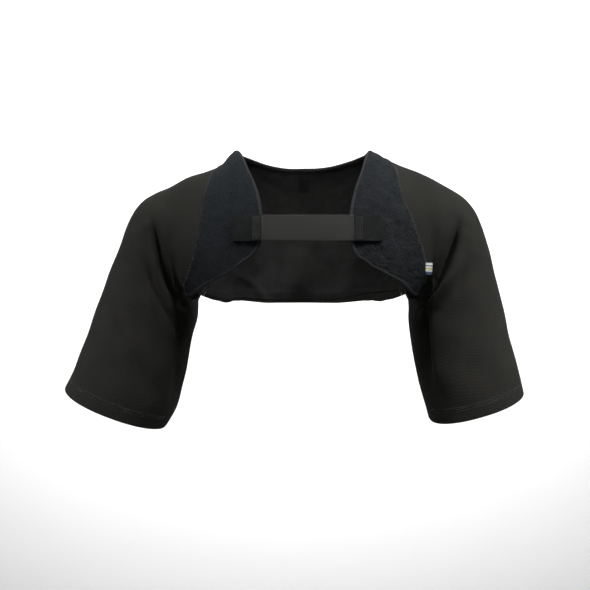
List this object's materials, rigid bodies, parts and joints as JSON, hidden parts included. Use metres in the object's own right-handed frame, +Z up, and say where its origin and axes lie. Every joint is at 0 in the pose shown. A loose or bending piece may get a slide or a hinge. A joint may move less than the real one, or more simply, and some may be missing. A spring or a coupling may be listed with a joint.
{
  "type": "shoulder brace",
  "caption": "Warming shoulder brace with elbow-length sleeves, an upper back panel, loop-faced front flaps and an elastic chest strap with hook tabs.",
  "frame": {"origin": "midway between the two neck points, at the height where the yoke rests on the shoulders", "axes": "+X to the viewer's right as seen from the front (the wearer's left), +Y to the wearer's back, +Z up"},
  "size_m": [0.7111, 0.2418, 0.4317],
  "materials": {
    "fleece": "matt bonded knit, charcoal with an olive cast",
    "lining": "smooth matt dark grey tricot",
    "loop_cloth": "brushed loop cloth, dark navy",
    "binding": "folded knit tape, dark blue grey",
    "elastic": "ribbed woven elastic, warm dark grey",
    "tab": "smooth felted hook tab, near black",
    "label": "satin label, black",
    "tag": "woven tag, blue grey with plain stripes"
  },
  "bodies": {
    "root": {"left_sleeve": "fleece", "right_sleeve": "fleece", "back_panel": "fleece", "back_lining": "lining", "left_front_flap": "loop_cloth", "right_front_flap": "loop_cloth", "left_flap_binding": "binding", "right_flap_binding": "binding", "neck_binding": "binding", "chest_strap": "elastic", "left_tab": "tab", "right_tab": "tab", "size_label": "label", "side_tag": "tag"}
  },
  "joints": []
}
